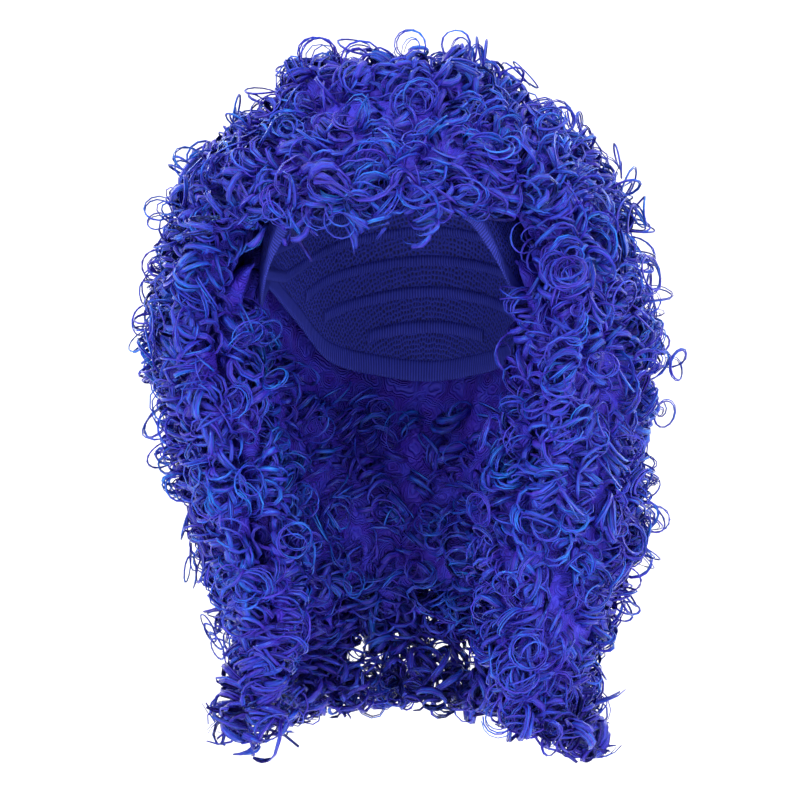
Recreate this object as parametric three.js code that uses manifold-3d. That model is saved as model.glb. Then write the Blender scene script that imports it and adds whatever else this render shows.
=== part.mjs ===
// A long curly wig: a thin stretch cap that sits on the head, and the rows of curly hair that
// are sewn to it. Each row is a thick bed of hair with locks fused to its outside.
// Millimetres, +Z up. The wearer's face looks along -Y and +X is the wearer's left.
// The origin is the inside of the cap at the crown, where it rests on the top of the head.
import * as THREE from "three";
import { mergeVertices } from "three/addons/utils/BufferGeometryUtils.js";
import Module from "manifold-3d";

// The head that the cap fits
const headWidth = 152;
const headLength = 192;
const crownToTemple = 92; // the crown to the widest level of the head
const napeTaper = 0.16; // how far the head draws in, one crownToTemple below that level

// The cap
const capWall = 1.5;
const hemWall = 3;
const hemWidth = 5;
const capDrop = 150; // the crown to the lowest point of the edge, at the nape

// The neck, which the hair hangs clear of
const neckWidth = 92;
const neckFront = 62;
const neckBack = 64;
const neckTop = 215; // below the crown

// The hair's outline
const hairWidth = 300;
const hairFront = 134;
const hairBack = 150;
const hairRise = 38; // above the crown
const hairDrop = 352; // below the crown
const hang = 0.14; // how far the locks hang on below the bed, as a fall
const tipSpread = 0.06; // how much the ends of the locks differ, as a fall

// Clearances
const seatGap = 0.3; // between the cap and a row
const rowGap = 0.5; // between two rows

// How finely the shapes are drawn
const azimuthStep = 12; // degrees between two rings of a sweep or two columns of the cap
const fallStep = 0.26; // between two corners along a side of a section
const capRings = 7;
const lockSides = 5;
const lockStep = 34;
const twistPerStep = 2.1; // radians that a lock's bulge turns from one ring to the next
const slack = 0.15; // how far a face may move when the smallest faces are merged
const bulge = 0.2; // how far a ring stands off the lock's line, as a share of its radius

const RIGHT_ANGLE = Math.PI / 2;
const radians = THREE.MathUtils.degToRad;
const lerp = THREE.MathUtils.lerp;

// The cap's edge. azimuth is in degrees from the middle of the forehead, drop a share of capDrop.
const capEdge = [
  { azimuth: 0, drop: 0.38 },
  { azimuth: 38, drop: 0.42 },
  { azimuth: 62, drop: 0.72 },
  { azimuth: 74, drop: 0.75 },
  { azimuth: 94, drop: 0.63 },
  { azimuth: 116, drop: 0.72 },
  { azimuth: 145, drop: 0.95 },
  { azimuth: 180, drop: 1 },
];

// The hair's outline below the temples. drop is a share of hairDrop, right and left shares of
// half of hairWidth, front and back shares of hairFront and hairBack.
const outline = [
  { drop: 0.26, right: 0.97, left: 0.95, front: 1, back: 0.98 },
  { drop: 0.32, right: 1, left: 1, front: 0.97, back: 1 },
  { drop: 0.45, right: 0.96, left: 1, front: 0.86, back: 1 },
  { drop: 0.58, right: 0.9, left: 0.99, front: 0.76, back: 0.97 },
  { drop: 0.7, right: 0.82, left: 0.98, front: 0.69, back: 0.93 },
  { drop: 0.82, right: 0.71, left: 0.88, front: 0.62, back: 0.86 },
  { drop: 0.93, right: 0.64, left: 0.76, front: 0.56, back: 0.78 },
  { drop: 1, right: 0.56, left: 0.68, front: 0.5, back: 0.72 },
];

// A place in the hair is given by an azimuth, a fall and a layer. The fall is 0 at the crown, 1
// at the widest level of the head and 2 at the lowest tips. The layer is 0 at the body and 1 at
// the outline. These are the bounds of the kinds of row, as falls and layers. Neighbours run
// opposite ways round, so that the faces between them match.
const BELOW = 2.1; // a fall past the lowest tips
const BEYOND = 1.4; // a layer past the outline
const BEHIND = -0.1; // a layer inside the body, where the wearer's own space cuts it
const outerBounds = [
  { fall: 0.68, layer: BEHIND },
  { fall: 0.83, layer: BEHIND },
  { fall: 1.06, layer: 0.5 },
  { fall: BELOW, layer: 0.5 },
  { fall: BELOW, layer: BEYOND },
  { fall: 0.98, layer: BEYOND },
];
const underBounds = [
  { fall: 0.83, layer: BEHIND },
  { fall: 1.06, layer: 0.5 },
  { fall: BELOW, layer: 0.5 },
  { fall: BELOW, layer: BEHIND },
];
const crownBounds = [
  { fall: 0.35, layer: BEHIND },
  { fall: 0.4, layer: BEYOND },
  { fall: 0.98, layer: BEYOND },
  { fall: 0.68, layer: BEHIND },
];
const topBounds = [
  { fall: 0, layer: BEHIND },
  { fall: 0.35, layer: BEHIND },
  { fall: 0.4, layer: BEYOND },
  { fall: 0, layer: BEYOND },
];

// The rows of hair. start and end are the azimuths that bound a row, and locks is how many locks
// it has. root and tip are the falls between which they run and layer is where they lie. girth is
// their radius as a share of the gap between two locks. bed is the layer of the bed's outside.
const rows = [
  { node: "nape_locks", start: 108, end: 252, locks: 6, root: 1.1, tip: 1.82,
    layer: 0.3, girth: 0.55, bed: 0.42, bounds: underBounds },
  { node: "left_under_locks", start: 48, end: 108, locks: 3, root: 1.1, tip: 1.93,
    layer: 0.28, girth: 0.55, bed: 0.42, bounds: underBounds },
  { node: "right_under_locks", start: -108, end: -48, locks: 3, root: 1.1, tip: 1.88,
    layer: 0.28, girth: 0.55, bed: 0.42, bounds: underBounds },
  { node: "left_side_locks", start: 48, end: 108, locks: 5, root: 0.84, tip: 1.97,
    layer: 0.77, girth: 0.6, bed: 0.82, bounds: outerBounds },
  { node: "right_side_locks", start: -108, end: -48, locks: 5, root: 0.84, tip: 1.94,
    layer: 0.77, girth: 0.6, bed: 0.82, bounds: outerBounds },
  { node: "back_left_locks", start: 108, end: 180, locks: 6, root: 0.84, tip: 1.95,
    layer: 0.77, girth: 0.6, bed: 0.82, bounds: outerBounds },
  { node: "back_right_locks", start: -180, end: -108, locks: 6, root: 0.84, tip: 1.92,
    layer: 0.77, girth: 0.6, bed: 0.82, bounds: outerBounds },
  { node: "fringe_locks", start: -48, end: 48, locks: 8, root: 0.5, tip: 0.92,
    layer: 0.7, girth: 0.6, bed: 0.8, bounds: crownBounds },
  { node: "crown_locks", start: 48, end: 312, locks: 18, root: 0.44, tip: 0.94,
    layer: 0.7, girth: 0.6, bed: 0.8, bounds: crownBounds },
  { node: "top_locks", start: 0, end: 360, locks: 9, root: 0.1, tip: 0.42,
    layer: 0.66, girth: 0.6, bed: 0.8, bounds: topBounds },
];

const wasm = await Module();
wasm.setup();

const ease = (t) => t * t * (3 - 2 * t);

// The value of one column of a table at a place along another, eased between the rows.
function lookUp(table, key, at, column) {
  const next = table.findIndex((row) => row[key] >= at);
  if (next === 0) return table[0][column];
  if (next < 0) return table[table.length - 1][column];
  const [low, high] = [table[next - 1], table[next]];
  return lerp(low[column], high[column], ease((at - low[key]) / (high[key] - low[key])));
}

// A fixed wobble from -1 to 1 that differs from lock to lock and along each lock.
const wobble = (lock, place) => Math.sin(lock * 12.9898 + place * 4.1414);

// A point at a distance from the upright axis.
function around(azimuth, radius, z) {
  const a = radians(azimuth);
  return new THREE.Vector3(Math.sin(a) * radius, -Math.cos(a) * radius, z);
}

// The distance from the axis to an egg-shaped section, along an azimuth.
function eggRadius(azimuth, side, front, back) {
  const a = radians(azimuth);
  return 1 / Math.hypot(Math.sin(a) / side, Math.cos(a) / (Math.cos(a) > 0 ? front : back));
}

// The head's surface, grown by offset. A fall past 1 goes on down in steps of crownToTemple.
function headPoint(azimuth, fall, offset) {
  const below = Math.max(0, fall - 1);
  const polar = Math.min(1, fall) * RIGHT_ANGLE;
  const [side, along] = [headWidth / 2 + offset, headLength / 2 + offset];
  const reach = Math.sin(polar) * (1 - napeTaper * below * below);
  const z = Math.cos(polar) * (crownToTemple + offset) - crownToTemple * (1 + below);
  return around(azimuth, reach * eggRadius(azimuth, side, along, along), z);
}

// The fall at a depth below the crown. Past 1 it grows by 1 for each step in depth.
const fallAt = (depth, step) =>
  depth < crownToTemple
    ? Math.acos(1 - depth / crownToTemple) / RIGHT_ANGLE
    : 1 + (depth - crownToTemple) / step;

// The body under the hair, grown by offset: the head, and below the cap the jaw and the neck.
function bodyPoint(azimuth, fall, offset) {
  if (fall <= 1) return headPoint(azimuth, fall, offset);
  const depth = lerp(crownToTemple, hairDrop, fall - 1);
  const head = headPoint(azimuth, fallAt(Math.min(depth, capDrop), crownToTemple), offset);
  const neck = offset + eggRadius(azimuth, neckWidth / 2, neckFront, neckBack);
  const share = ease(THREE.MathUtils.clamp((depth - capDrop) / (neckTop - capDrop), 0, 1));
  return around(azimuth, lerp(Math.hypot(head.x, head.y), neck, share), -depth);
}

// The hair's outline: a dome down to the widest level of the head, and the table below it.
function outlinePoint(azimuth, fall) {
  const polar = Math.min(1, fall) * RIGHT_ANGLE;
  const depth = lerp(crownToTemple, hairDrop, Math.max(0, fall - 1));
  const at = (column) => lookUp(outline, "drop", depth / hairDrop, column);
  const side = (hairWidth / 2) * at(Math.sin(radians(azimuth)) > 0 ? "left" : "right");
  const r = eggRadius(azimuth, side, hairFront * at("front"), hairBack * at("back"));
  return around(azimuth, Math.sin(polar) * r, Math.cos(polar) * (crownToTemple + hairRise) - depth);
}

// A place in the hair as a point.
function hairPoint(azimuth, fall, layer) {
  return bodyPoint(azimuth, fall, capWall + seatGap).lerp(outlinePoint(azimuth, fall), layer);
}

// A closed geometry through rings of points. A ring of one point closes an end.
function loft(rings) {
  const points = rings.flat();
  const starts = rings.map((_, i) => rings.slice(0, i).flat().length);
  const faces = [];
  for (let i = 0; i + 1 < rings.length; i++) {
    const [here, next] = [rings[i].length, rings[i + 1].length];
    for (let k = 0; k < Math.max(here, next); k++) {
      const a = starts[i] + (k % here);
      const b = starts[i] + ((k + 1) % here);
      const c = starts[i + 1] + (k % next);
      const d = starts[i + 1] + ((k + 1) % next);
      if (a !== b) faces.push(a, b, d);
      if (c !== d) faces.push(a, d, c);
    }
  }
  return new THREE.BufferGeometry().setFromPoints(points).setIndex(faces);
}

// A geometry as a solid that can be joined and cut, with its faces turned outwards.
function solidOf(geometry) {
  const merged = mergeVertices(geometry);
  const vertProperties = merged.attributes.position.array;
  const triVerts = [];
  for (let i = 0; i < merged.index.count; i += 3) {
    const [a, b, c] = merged.index.array.slice(i, i + 3);
    if (a !== b && b !== c && c !== a) triVerts.push(a, b, c);
  }
  const build = (triangles) =>
    new wasm.Manifold(
      new wasm.Mesh({ numProp: 3, vertProperties, triVerts: new Uint32Array(triangles) }),
    );
  const solid = build(triVerts);
  return solid.volume() > 0 ? solid : build(triVerts.reverse());
}

// The largest body of a solid, with its smallest faces merged, as a geometry.
function geometryOf(solid) {
  const bodies = solid.decompose().sort((a, b) => b.volume() - a.volume());
  const { vertProperties, triVerts } = bodies[0].asOriginal().simplify(slack).getMesh();
  return new THREE.BufferGeometry()
    .setAttribute("position", new THREE.BufferAttribute(vertProperties, 3))
    .setIndex(new THREE.BufferAttribute(triVerts, 1));
}

// Azimuths from start to end in even steps, the first and the last drawn in by an inset.
function azimuths(start, end, inset) {
  const steps = Math.round((end - start) / azimuthStep);
  return Array.from({ length: steps + 1 }, (_, i) =>
    THREE.MathUtils.clamp(lerp(start, end, i / steps), start + inset, end - inset),
  );
}

// The azimuths of the cap, half a step off those of the rows.
const allRound = azimuths(azimuthStep / 2, 360 - azimuthStep / 2, 0);

// The depth of the cap's edge at an azimuth from 0 to 360.
const edgeDepth = (azimuth) =>
  capDrop * lookUp(capEdge, "azimuth", Math.min(azimuth, 360 - azimuth), "drop");

// A ring of points round the head, at a share of the way from the crown to the cap's edge.
const capRing = (share, offset) =>
  allRound.map((azimuth) =>
    headPoint(azimuth, fallAt(edgeDepth(azimuth), crownToTemple) * share, offset),
  );

// The rings of one side of the cap, from the crown to the edge. The hem starts early by margin.
function capSide(wall, hem, margin) {
  const hemStart = 1 - (hemWidth + margin) / capDrop;
  const shares = Array.from({ length: capRings }, (_, i) => ((i + 1) / capRings) * hemStart);
  return [
    [headPoint(0, 0, wall)],
    ...shares.map((share) => capRing(share, wall)),
    ...(hem > wall ? [capRing(hemStart + 0.001, hem)] : []),
    capRing(1, hem),
  ];
}

// The stretch cap: an open dome with a thicker hem along its edge.
const makeCap = () => loft([...capSide(0, 0, 0), ...capSide(capWall, hemWall, 0).reverse()]);

// The wearer with the cap on, grown by the gap that the hair keeps.
function makeWearer() {
  const levels = 5;
  const offset = hemWall + seatGap;
  const below = Array.from({ length: levels }, (_, i) =>
    allRound.map((azimuth) => {
      const edge = fallAt(edgeDepth(azimuth), hairDrop - crownToTemple);
      return bodyPoint(azimuth, lerp(edge, BELOW + fallStep, (i + 1) / levels), offset);
    }),
  );
  const base = new THREE.Vector3(0, 0, below[levels - 1][0].z);
  const rings = [...capSide(capWall + seatGap, offset, 3 * seatGap), ...below, [base]];
  return loft(rings.reverse()); // from the base up, so that its faces match the cap's outer side
}

// Triangles that close the end of a sweep, in the direction of its ring.
function endFaces(ring) {
  const contour = ring.map((p) => new THREE.Vector2(Math.hypot(p.x, p.y), p.z));
  const faces = THREE.ShapeUtils.triangulateShape(contour, []);
  const turn = (points) => Math.sign(THREE.ShapeUtils.area(points));
  const matches = turn(faces[0].map((i) => contour[i])) === turn(contour);
  return matches ? faces : faces.map((face) => face.reverse());
}

// A solid swept round the head over a span of azimuths. ringAt gives its section.
function sweep({ start, end }, inset, ringAt) {
  const whole = end - start === 360;
  const rings = azimuths(start, end, whole ? 0 : inset).map(ringAt);
  if (whole) return loft([...rings.slice(0, -1), rings[0]]);
  const sides = loft(rings);
  const last = (rings.length - 1) * rings[0].length;
  return sides.setIndex([
    ...sides.index.array,
    ...endFaces(rings[0]).flatMap(([a, b, c]) => [c, b, a]),
    ...endFaces(rings[rings.length - 1]).flatMap((face) => face.map((i) => last + i)),
  ]);
}

// The bounds of a kind of row drawn in by half of rowGap, with more corners along each side.
function drawIn(bounds) {
  const [fallSpan, layerSpan] = [crownToTemple * RIGHT_ANGLE, hairRise];
  const corners = bounds.map(({ fall, layer }) => new THREE.Vector2(fall * fallSpan, layer * layerSpan));
  const turn = Math.sign(THREE.ShapeUtils.area(corners));
  const sides = corners.map((corner, i) => {
    const along = corners[(i + 1) % corners.length].clone().sub(corner);
    const inward = new THREE.Vector2(-along.y, along.x).setLength((turn * rowGap) / 2);
    const shift = corner.x === 0 && along.x === 0 ? new THREE.Vector2() : inward;
    return { from: corner.clone().add(shift), along };
  });
  const drawn = sides.map((side, i) => {
    const before = sides[(i + sides.length - 1) % sides.length];
    const offset = side.from.clone().sub(before.from);
    const t = offset.cross(side.along) / before.along.cross(side.along);
    return before.from.clone().addScaledVector(before.along, t);
  });
  return drawn.flatMap((corner, i) => {
    const next = drawn[(i + 1) % drawn.length];
    const steps = Math.ceil(Math.abs(next.x - corner.x) / fallSpan / fallStep) || 1;
    return Array.from({ length: steps }, (_, k) => {
      const p = corner.clone().lerp(next, k / steps);
      return { fall: p.x / fallSpan, layer: p.y / layerSpan };
    });
  });
}

// The space that a row may fill, clear of its neighbours.
function makeBounds(row) {
  const inset = THREE.MathUtils.radToDeg(rowGap / headWidth);
  const corners = drawIn(row.bounds);
  return sweep(row, inset, (azimuth) =>
    corners.map(({ fall, layer }) => hairPoint(azimuth, fall, layer)),
  );
}

// The bed of hair that a row's locks stand on, before it is cut to the row's bounds. Its rings
// lie between those of the bounds and those of the cap.
function makeBed(row) {
  const floor = row.tip - hang;
  const steps = Math.round(floor / fallStep);
  const falls = Array.from({ length: steps + 1 }, (_, i) => (i * floor) / steps);
  const start = row.start - azimuthStep / 3;
  const end = start + Math.min(360, row.end - row.start + azimuthStep);
  return sweep({ start, end }, 0, (azimuth) => [
    ...falls.map((fall) => hairPoint(azimuth, fall, row.bed)),
    ...falls.map((fall) => hairPoint(azimuth, fall, 2 * BEHIND)).reverse(),
  ]);
}

// Slender at the root and the tip of a lock, and full between.
const fullness = (share) =>
  Math.min(1, 0.6 + 2.2 * share) * Math.min(1, 0.3 + Math.sqrt(4 * (1 - share)));

// One curly lock of a row, from its root to its tip. The middles of its rings wind round the
// line that it follows.
function makeLock(row, index) {
  const gap = (row.end - row.start) / row.locks;
  const azimuth = row.start + (index + 0.5) * gap;
  const seed = index + row.root;
  const tip = row.tip + tipSpread * Math.min(1, row.tip - row.root) * wobble(seed, 2);
  const levels = Math.max(3, Math.round((tip - row.root) * 6));
  const points = Array.from({ length: levels + 1 }, (_, k) => {
    const sway = k ? 0.16 * gap * wobble(seed, k) : 0;
    return hairPoint(azimuth + sway, lerp(row.root, tip, k / levels), row.layer);
  });
  const line = new THREE.CatmullRomCurve3(points, false, "centripetal");
  const steps = Math.max(3, Math.round(line.getLength() / lockStep));
  const rings = Array.from({ length: steps + 1 }, (_, i) => {
    const share = i / steps;
    const middle = line.getPointAt(share);
    const along = line.getTangentAt(share);
    const across = new THREE.Vector3(-middle.y, middle.x, 0).cross(along).normalize();
    const outward = along.clone().cross(across);
    const girth = row.girth * radians(gap) * Math.hypot(middle.x, middle.y);
    const radius = girth * fullness(share) * (1 + 0.1 * wobble(seed, i));
    const spot = (angle, distance, from) =>
      from
        .clone()
        .addScaledVector(across, Math.cos(angle) * distance)
        .addScaledVector(outward, Math.sin(angle) * distance);
    const centre = spot(seed + i * twistPerStep, bulge * radius, middle);
    return Array.from({ length: lockSides }, (_, k) =>
      spot((k * 2 * Math.PI) / lockSides, radius, centre),
    );
  });
  return loft([[points[0]], ...rings, [points[points.length - 1]]]);
}

// A row's bed and locks, fused and kept within the row's bounds and clear of the wearer.
function makeRow(row) {
  const locks = Array.from({ length: row.locks }, (_, i) => makeLock(row, i));
  const fused = wasm.Manifold.union([makeBed(row), ...locks].map(solidOf));
  return geometryOf(fused.intersect(solidOf(makeBounds(row))).subtract(wearer));
}

const finish = (color, roughness) =>
  new THREE.MeshStandardMaterial({ color, roughness, metalness: 0 });
const netting = finish(0x1a2f9e, 0.8);
const hair = finish(0x1f3fc4, 0.45);

const wig = new THREE.Group();

function addPiece(name, geometry, material) {
  geometry.computeVertexNormals();
  const mesh = new THREE.Mesh(geometry, material);
  mesh.name = name;
  wig.add(mesh);
}

const wearer = solidOf(makeWearer());
addPiece("cap", geometryOf(solidOf(makeCap())), netting);
for (const row of rows) addPiece(row.node, makeRow(row), hair);

export default wig;
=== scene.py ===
"""A long curly wig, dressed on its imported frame.

The frame gives the cap and each row of hair as a plain solid. Here each row becomes a bed of
matted fibre with its share of some thousands of curls over it. The curls are laid over one skin
that joins all the rows, so that no seam shows between them. The cap becomes a dome of stretch net
with the tracks that hold the hair, and an elastic hem. All sizes are in metres, in the frame's
axes: +Z is up, the fringe is at -Y and +X is the left side as the wig is worn.
"""

import logging
import math
from dataclasses import dataclass, field
from enum import Enum

import bpy
import numpy as np
from bpy.types import ID, Material, Mesh, Node, NodeSocket, NodeTree, Object
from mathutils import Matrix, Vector
from mathutils.bvhtree import BVHTree


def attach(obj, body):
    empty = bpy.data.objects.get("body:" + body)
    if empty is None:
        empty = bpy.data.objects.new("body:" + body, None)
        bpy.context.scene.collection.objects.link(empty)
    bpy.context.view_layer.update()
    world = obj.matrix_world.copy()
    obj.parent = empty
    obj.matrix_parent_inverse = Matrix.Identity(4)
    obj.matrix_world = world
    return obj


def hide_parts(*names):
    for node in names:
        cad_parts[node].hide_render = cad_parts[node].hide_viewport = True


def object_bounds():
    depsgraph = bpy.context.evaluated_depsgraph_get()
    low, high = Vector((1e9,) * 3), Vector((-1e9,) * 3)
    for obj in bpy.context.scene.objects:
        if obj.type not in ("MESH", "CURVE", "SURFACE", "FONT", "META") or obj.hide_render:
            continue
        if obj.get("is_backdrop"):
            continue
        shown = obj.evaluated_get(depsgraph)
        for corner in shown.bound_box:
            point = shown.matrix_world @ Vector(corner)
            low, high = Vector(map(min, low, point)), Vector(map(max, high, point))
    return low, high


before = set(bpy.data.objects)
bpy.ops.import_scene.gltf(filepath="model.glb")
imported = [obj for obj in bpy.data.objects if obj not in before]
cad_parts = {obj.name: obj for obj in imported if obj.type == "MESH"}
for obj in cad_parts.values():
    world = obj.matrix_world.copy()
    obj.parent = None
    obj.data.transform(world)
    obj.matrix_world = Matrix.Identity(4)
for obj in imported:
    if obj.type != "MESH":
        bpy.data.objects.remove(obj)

MM = 0.001
UP = np.array([0.0, 0.0, 1.0])
LOG = logging.getLogger("wig")
PHASES = 6.3  # drawn phases run from 0 to this, about a full turn
Array = np.ndarray
Arrays = tuple[Array, Array]


# Helpers for colours and nodes


def linear(hex_colour: str) -> tuple[float, float, float, float]:
    """Turns an sRGB hex colour to the linear colour that a shader socket takes.

    Args:
        hex_colour: Six hex digits, such as "1f3fc4".

    Returns:
        Red, green, blue and an alpha of 1.
    """
    channels = (int(hex_colour[i : i + 2], 16) / 255 for i in (0, 2, 4))
    r, g, b = (c / 12.92 if c <= 0.04045 else ((c + 0.055) / 1.055) ** 2.4 for c in channels)
    return (r, g, b, 1.0)


def set_inputs(tree: NodeTree, node: Node, inputs: dict) -> None:
    """Sets some inputs of a node.

    Args:
        tree: The material's node tree.
        node: The node.
        inputs: For each input, by name or by place: a value, an output socket, or a node that
            gives its first output.
    """
    for name, value in inputs.items():
        if isinstance(value, Node):
            value = value.outputs[0]
        if isinstance(value, NodeSocket):
            tree.links.new(value, node.inputs[name])
        else:
            node.inputs[name].default_value = value


def add_node(tree: NodeTree, kind: str, settings: dict, inputs: dict) -> Node:
    """Adds one shader node.

    Args:
        tree: The material's node tree.
        kind: The node's type name without "ShaderNode".
        settings: The node's own properties by name, and a ramp's colours under "stops".
        inputs: What set_inputs takes.

    Returns:
        The new node.
    """
    node = tree.nodes.new("ShaderNode" + kind)
    for name, value in settings.items():
        if name == "stops":
            elements = node.color_ramp.elements
            while len(elements) < len(value):
                elements.new(0.5)
            for element, (place, colour) in zip(elements, sorted(value.items())):
                element.position = place
                element.color = linear(colour)
        else:
            setattr(node, name, value)
    set_inputs(tree, node, inputs)
    return node


def new_material(name: str) -> tuple[Material, NodeTree, Node]:
    """Makes a material.

    Args:
        name: The material's name.

    Returns:
        The material, its node tree and its Principled shader.
    """
    material = bpy.data.materials.new(name)
    material.use_nodes = True
    return material, material.node_tree, material.node_tree.nodes["Principled BSDF"]


# Helpers for meshes


def unit(vectors: Array) -> Array:
    """Returns the vectors at length 1."""
    return vectors / np.maximum(np.linalg.norm(vectors, axis=-1, keepdims=True), 1e-9)


def dot(a: Array, b: Array) -> Array:
    """Returns the dot products of two arrays of vectors, each with a last axis of one."""
    return (a * b).sum(-1, keepdims=True)


def level(vectors: Array) -> Array:
    """Returns the level parts of the vectors, at length 1."""
    return unit(vectors * [1.0, 1.0, 0.0])


def new_object(name: str, data: ID) -> Object:
    """Makes an object and links it to the scene.

    Args:
        name: The object's name.
        data: Its mesh, light or camera.

    Returns:
        The object.
    """
    made = bpy.data.objects.new(name, data)
    bpy.context.scene.collection.objects.link(made)
    return made


def new_mesh(name: str, points: Array, faces: Array) -> Object:
    """Makes a smooth mesh object from arrays.

    Args:
        name: The object's name.
        points: One row of three coordinates for each vertex.
        faces: One row of vertex numbers for each face, all with as many corners.

    Returns:
        The object, linked to the scene.
    """
    corners = faces.shape[1]
    mesh = bpy.data.meshes.new(name)
    mesh.vertices.add(len(points))
    mesh.vertices.foreach_set("co", points.astype(np.float32).ravel())
    mesh.loops.add(faces.size)
    mesh.loops.foreach_set("vertex_index", faces.astype(np.int32).ravel())
    mesh.polygons.add(len(faces))
    mesh.polygons.foreach_set("loop_start", np.arange(0, faces.size, corners, dtype=np.int32))
    mesh.polygons.foreach_set("use_smooth", np.ones(len(faces), bool))
    mesh.update(calc_edges=True)
    return new_object(name, mesh)


def set_values(item: Object, name: str, values: Array) -> None:
    """Writes values on a mesh that the materials read by their name.

    Args:
        item: The mesh object.
        name: The values' name.
        values: A number or a vector for each vertex.
    """
    is_vector = values.ndim == 2
    made = item.data.attributes.new(name, "FLOAT_VECTOR" if is_vector else "FLOAT", "POINT")
    made.data.foreach_set("vector" if is_vector else "value", values.astype(np.float32).ravel())


def mesh_arrays(mesh: Mesh) -> Arrays:
    """Reads a mesh.

    Args:
        mesh: The mesh.

    Returns:
        Its vertices and its triangles.
    """
    mesh.calc_loop_triangles()
    points = np.empty(len(mesh.vertices) * 3, np.float32)
    mesh.vertices.foreach_get("co", points)
    faces = np.empty(len(mesh.loop_triangles) * 3, np.int32)
    mesh.loop_triangles.foreach_get("vertices", faces)
    return points.reshape(-1, 3).astype(float), faces.reshape(-1, 3)


def joined(parts: list[Arrays]) -> Arrays:
    """Joins several meshes to one.

    Args:
        parts: The vertices and triangles of each mesh.

    Returns:
        The vertices and triangles of them all.
    """
    starts = np.cumsum([0] + [len(points) for points, _ in parts[:-1]])
    points = np.concatenate([points for points, _ in parts])
    return points, np.concatenate([faces + start for (_, faces), start in zip(parts, starts)])


def search_tree(points: Array, faces: Array) -> BVHTree:
    """Returns a tree that finds the nearest point of a mesh, or where a ray meets it."""
    return BVHTree.FromPolygons(points.tolist(), faces.tolist())


def vertex_normals(points: Array, faces: Array) -> Array:
    """Works out each vertex's normal.

    Args:
        points: The vertices.
        faces: The triangles.

    Returns:
        For each vertex, the mean normal of its faces by their size.
    """
    corners = points[faces]
    cross = np.cross(corners[:, 1] - corners[:, 0], corners[:, 2] - corners[:, 0])
    total = np.zeros_like(points)
    for k in range(3):
        np.add.at(total, faces[:, k], cross)
    return unit(total)


def quad_faces(a: Array, b: Array, c: Array, d: Array) -> Array:
    """Returns two triangles for each quad, given its corners' numbers in turn."""
    halves = (a, b, c), (a, c, d)
    return np.concatenate([np.stack(half, -1).reshape(-1, 3) for half in halves])


def node_solid(node: str) -> Arrays:
    """Returns the vertices and triangles of one of the frame's nodes."""
    return mesh_arrays(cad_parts[node].data)


def evened(values: Array, faces: Array, times: int) -> Array:
    """Evens out the values of a closed mesh's vertices.

    Args:
        values: A row for each vertex.
        faces: The mesh's triangles.
        times: How often each value moves halfway to the mean of its neighbours.

    Returns:
        The new values.
    """
    starts, ends = faces.ravel(), np.roll(faces, -1, axis=1).ravel()
    counts = np.maximum(np.bincount(starts, minlength=len(values)), 1)[:, None]
    for _ in range(times):
        total = np.zeros_like(values)
        np.add.at(total, starts, values[ends])
        values = 0.5 * values + 0.5 * total / counts
    return values


def largest_part(points: Array, faces: Array) -> Arrays:
    """Finds the part of a mesh with the most faces, without its loose scraps.

    Args:
        points: The vertices.
        faces: The triangles.

    Returns:
        The vertices and triangles of that part.
    """
    label = np.arange(len(points))
    while True:
        low = label[faces].min(axis=1)
        new = label.copy()
        for k in range(3):
            np.minimum.at(new, faces[:, k], low)
        new = new[new]
        if (new == label).all():
            break
        label = new
    names, counts = np.unique(label[faces[:, 0]], return_counts=True)
    faces = faces[label[faces[:, 0]] == names[counts.argmax()]]
    used, flat = np.unique(faces, return_inverse=True)
    return points[used], flat.reshape(-1, 3)


def remeshed(points: Array, faces: Array, voxel: float) -> Arrays:
    """Gives a closed mesh even faces.

    Args:
        points: The vertices.
        faces: The triangles.
        voxel: The size of the new faces.

    Returns:
        The new vertices and triangles, of the largest part alone.
    """
    item = new_mesh("remeshed", points, faces)
    modifier = item.modifiers.new("even", "REMESH")
    modifier.mode = "VOXEL"
    modifier.voxel_size = voxel
    even = item.evaluated_get(bpy.context.evaluated_depsgraph_get())
    made = mesh_arrays(even.to_mesh())
    even.to_mesh_clear()
    mesh = item.data
    bpy.data.objects.remove(item)
    bpy.data.meshes.remove(mesh)
    return largest_part(*made)


def dress(piece: Object, finish: Material, node: str) -> None:
    """Gives a piece its finish and sets it in a node's place.

    Args:
        piece: The piece.
        finish: Its material.
        node: The frame's node that it stands for.
    """
    piece.data.materials.append(finish)
    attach(piece, "root")
    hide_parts(node)
    LOG.info("%s: %d faces", piece.name, len(piece.data.polygons))


# The finishes


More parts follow.
